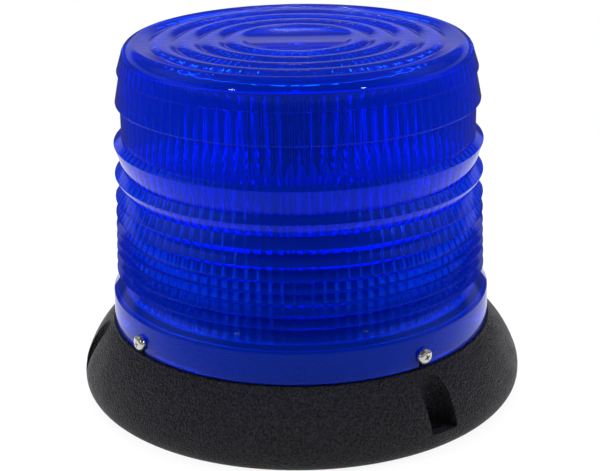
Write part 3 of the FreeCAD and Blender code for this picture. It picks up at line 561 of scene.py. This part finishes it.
def makeLensScrews():
    sizes = lensScrewSizes
    bm = bmesh.new()
    for bearing, turn in sizes["turns"].items():
        mesh = panHead(sizes)
        mesh.transform(outward(bearing, sizes["seatRadius"], sizes["height"], turn))
        bm.from_mesh(mesh)
        bpy.data.meshes.remove(mesh)
    newPiece("crossLensScrews", bm, "base", [brightScrew], ["lens_screws"],
             sizes["sharpDegrees"])


makeLensScrews()
print("lens screws made")


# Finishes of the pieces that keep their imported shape

nodeFinishes = {
    "base_housing": basePlastic, "mounting_gasket": blackRubber, "cable_grommet": blackRubber,
    "lens_seal": blackRubber, "screw_inserts": turnedBrass,
    "deck_plate": deckSheet, "deck_screws": blackZinc, "tower_core": towerMetal,
    "tower_screws": zincScrew, "tower_cap": capPlastic, "cap_screw": zincScrew,
    "led_packages": ledBody, "led_board_screws": zincScrew, "driver_board": driverBoardMask,
    "board_screws": zincScrew, "filter_capacitors": canSleeve, "power_inductor": ferrite,
    "driver_chips": chipEpoxy, "terminal_block": terminalGreen,
}
domeSizes = {"boards": 6, "firstBearing": -90, "face": 12.3, "clear": 0.02}     # face: front of the packages


def dressNodes():
    for board in range(domeSizes["boards"]):
        nodeFinishes[f"led_board_{board + 1}"] = lightBoard
    for name, finish in nodeFinishes.items():
        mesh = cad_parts[name].data
        mesh.materials.clear()
        mesh.materials.append(finish)


def markDomes():
    # the domes stand out from the front of the packages
    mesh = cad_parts["led_packages"].data
    mesh.materials.append(ledDome)
    boards = domeSizes["boards"]
    angles = [math.radians(360 * board / boards + domeSizes["firstBearing"]) for board in range(boards)]
    front = (domeSizes["face"] + domeSizes["clear"]) * mm
    for polygon in mesh.polygons:
        middle = polygon.center
        reach = max(middle.x * math.cos(angle) + middle.y * math.sin(angle) for angle in angles)
        polygon.material_index = 1 if reach > front else 0


dressNodes()
markDomes()
print("packed pieces dressed:", len(nodeFinishes))


# Stage, light and camera

cameraPlace = {"turn": -36.5, "distance": 0.53019, "height": 0.24953, "pitch": 20.118, "roll": -0.857,
               "lens": 90.37, "sensor": 36.0}
stageSizes = {"floorRadius": 0.35, "floorSegments": 96, "floorDrop": 0.0002, "floorWhite": 0.8,
              "shadowShare": 0.12, "ambient": 0.45, "roomShade": 0.06,
              "mirroredFloorShade": (1.0, 0.5), "floorShadeReach": 0.1}     # floor brightness in reflections behind the beacon, then before it; the dimmer front is painted shade
horizonBand = {"middle": 0.21, "inner": 0.04, "outer": 0.13, "strength": 0.38}     # sines of the elevation
mirroredGlows = (     # right, towards, up from the camera's side, cosine at the rim, strength
    (-0.70, -0.1, 0.75, 0.84, 0.35),
    (0.70, -0.1, 0.75, 0.84, 0.30),
)
white = (1, 1, 1, 1)


def fromCamera(right, towards, up):
    # a place given to the right of, towards and above the camera's side of the beacon
    turn = math.radians(cameraPlace["turn"])
    return (math.cos(turn) * right + math.sin(turn) * towards,
            math.sin(turn) * right - math.cos(turn) * towards, up)


def cameraSideRays(tree):
    # one where the ray is seen directly, mirrored or through the lens
    path = tree.nodes.new("ShaderNodeLightPath")
    direct = addMath(tree, "MAXIMUM", path.outputs["Is Camera Ray"], path.outputs["Is Glossy Ray"])
    return addMath(tree, "MAXIMUM", direct, path.outputs["Is Transmission Ray"])


def surroundings(tree):
    # a dark room with a pale horizon and two soft glows, for rays off polished pieces
    place = tree.nodes.new("ShaderNodeTexCoord")
    parts = tree.nodes.new("ShaderNodeSeparateXYZ")
    tree.links.new(place.outputs["Generated"], parts.inputs["Vector"])
    offset = addMath(tree, "SUBTRACT", parts.outputs["Z"], horizonBand["middle"])
    apart = addMath(tree, "ABSOLUTE", offset)
    edges = (horizonBand["inner"], horizonBand["outer"])
    total = addRange(tree, apart, edges, (horizonBand["strength"], stageSizes["roomShade"]), smooth=True)
    for right, towards, up, rim, strength in mirroredGlows:
        direction = Vector(fromCamera(right, towards, up)).normalized()
        side = addDot(tree, place.outputs["Generated"], direction)
        glow = addRange(tree, side, (rim, 1.0), (0.0, strength), smooth=True)
        total = addMath(tree, "ADD", glow, total)
    return total


def makeWorld():
    world = bpy.data.worlds.new("studio")
    world.use_nodes = True
    tree = world.node_tree
    tree.nodes.clear()
    path = tree.nodes.new("ShaderNodeLightPath")
    seen = tree.nodes.new("ShaderNodeBackground")
    seen.inputs["Color"].default_value = white
    shade = addSwitch(tree, path.outputs["Is Glossy Ray"], 1.0, surroundings(tree))
    tree.links.new(shade, seen.inputs["Strength"])
    fill = tree.nodes.new("ShaderNodeBackground")
    fill.inputs["Color"].default_value = white
    fill.inputs["Strength"].default_value = stageSizes["ambient"]
    mix = tree.nodes.new("ShaderNodeMixShader")
    output = tree.nodes.new("ShaderNodeOutputWorld")
    tree.links.new(cameraSideRays(tree), mix.inputs["Fac"])
    tree.links.new(fill.outputs["Background"], mix.inputs[1])
    tree.links.new(seen.outputs["Background"], mix.inputs[2])
    tree.links.new(mix.outputs["Shader"], output.inputs["Surface"])
    bpy.context.scene.world = world


def makeFloorPaper():
    # white as the camera sees it, with a share of paper that takes the shadow; in reflections the side before
    # the beacon is dimmed, a painted shade
    material = bpy.data.materials.new("studioFloor")
    material.use_nodes = True
    tree = material.node_tree
    tree.nodes.clear()
    paper = tree.nodes.new("ShaderNodeBsdfDiffuse")
    paper.inputs["Color"].default_value = (*[stageSizes["floorWhite"]] * 3, 1)
    path = tree.nodes.new("ShaderNodeLightPath")
    place = tree.nodes.new("ShaderNodeTexCoord")
    # painted shade: the floor seen in reflections fades to half brightness on the camera's side
    nearness = addDot(tree, place.outputs["Object"], fromCamera(0.0, 1.0, 0.0))
    reach = stageSizes["floorShadeReach"]
    paintedShade = addRange(tree, nearness, (-reach, reach), stageSizes["mirroredFloorShade"])
    glow = tree.nodes.new("ShaderNodeEmission")
    strength = addSwitch(tree, path.outputs["Is Glossy Ray"], 1.0, paintedShade)
    tree.links.new(strength, glow.inputs["Strength"])
    share = addMath(tree, "MULTIPLY", cameraSideRays(tree), 1 - stageSizes["shadowShare"])
    mix = tree.nodes.new("ShaderNodeMixShader")
    output = tree.nodes.new("ShaderNodeOutputMaterial")
    tree.links.new(share, mix.inputs["Fac"])
    tree.links.new(paper.outputs["BSDF"], mix.inputs[1])
    tree.links.new(glow.outputs["Emission"], mix.inputs[2])
    tree.links.new(mix.outputs["Shader"], output.inputs["Surface"])
    return material


def makeFloor():
    bm = bmesh.new()
    bmesh.ops.create_circle(bm, cap_ends=True, segments=stageSizes["floorSegments"],
                            radius=stageSizes["floorRadius"])
    bmesh.ops.translate(bm, verts=bm.verts[:], vec=(0, 0, -stageSizes["floorDrop"]))
    mesh = bpy.data.meshes.new("studioFloor")
    bm.to_mesh(mesh)
    bm.free()
    mesh.materials.append(makeFloorPaper())
    floor = bpy.data.objects.new("studioFloor", mesh)
    bpy.context.scene.collection.objects.link(floor)


def addSoftbox(name, place, target, size, watts, mirrored=False, seenThrough=False):
    lamp = bpy.data.lights.new(name, "AREA")
    lamp.shape = "RECTANGLE"
    lamp.size, lamp.size_y = size
    lamp.energy = watts
    box = bpy.data.objects.new(name, lamp)
    box.location = place
    box.rotation_mode = "QUATERNION"
    box.rotation_quaternion = (Vector(target) - Vector(place)).to_track_quat("-Z", "Y")
    box.visible_camera = False
    box.visible_glossy = mirrored     # the large boxes would show hard edges in the lens
    box.visible_transmission = seenThrough
    bpy.context.scene.collection.objects.link(box)


def makeLamps():
    base, drum = (0, 0, 0.06), (0, 0, 0.1)     # what the lamps are aimed at
    tall, wide, low = (0.5, 0.7), (0.8, 0.6), (0.40, 0.20)
    small, spark = (0.05, 0.05), (0.08, 0.08)
    addSoftbox("leftSoftbox", fromCamera(-0.75, 0.15, 0.45), base, tall, watts=9.0, seenThrough=True)
    addSoftbox("rightSoftbox", fromCamera(0.75, 0.10, 0.45), base, tall, watts=8.0, seenThrough=True)
    addSoftbox("topSoftbox", fromCamera(0.0, -0.35, 0.95), base, wide, watts=9.0)
    addSoftbox("leftLamp", fromCamera(-0.59, 0.68, 0.44), drum, small, watts=0.35, mirrored=True)
    addSoftbox("rightLamp", fromCamera(0.59, 0.68, 0.44), drum, small, watts=0.3, mirrored=True)
    addSoftbox("backLamp", fromCamera(0.0, -0.85, 0.60), drum, spark, watts=3.0, seenThrough=True)
    addSoftbox("backPanel", fromCamera(0.0, -0.95, 0.32), drum, low, watts=1.0, seenThrough=True)


def makeCamera():
    turn = math.radians(cameraPlace["turn"])
    data = bpy.data.cameras.new("photoCamera")
    data.lens = cameraPlace["lens"]
    data.sensor_width = cameraPlace["sensor"]
    camera = bpy.data.objects.new("photoCamera", data)
    reach = cameraPlace["distance"]
    spot = Vector((math.sin(turn) * reach, -math.cos(turn) * reach, cameraPlace["height"]))
    look = (Matrix.Rotation(turn, 4, "Z") @ Matrix.Rotation(math.radians(90 - cameraPlace["pitch"]), 4, "X")
            @ Matrix.Rotation(math.radians(cameraPlace["roll"]), 4, "Z"))
    camera.matrix_world = Matrix.Translation(spot) @ look
    bpy.context.scene.collection.objects.link(camera)
    bpy.context.scene.camera = camera


makeWorld()
makeFloor()
makeLamps()
makeCamera()
view = bpy.context.scene.view_settings
view.view_transform = "Standard"
print("stage and camera set")
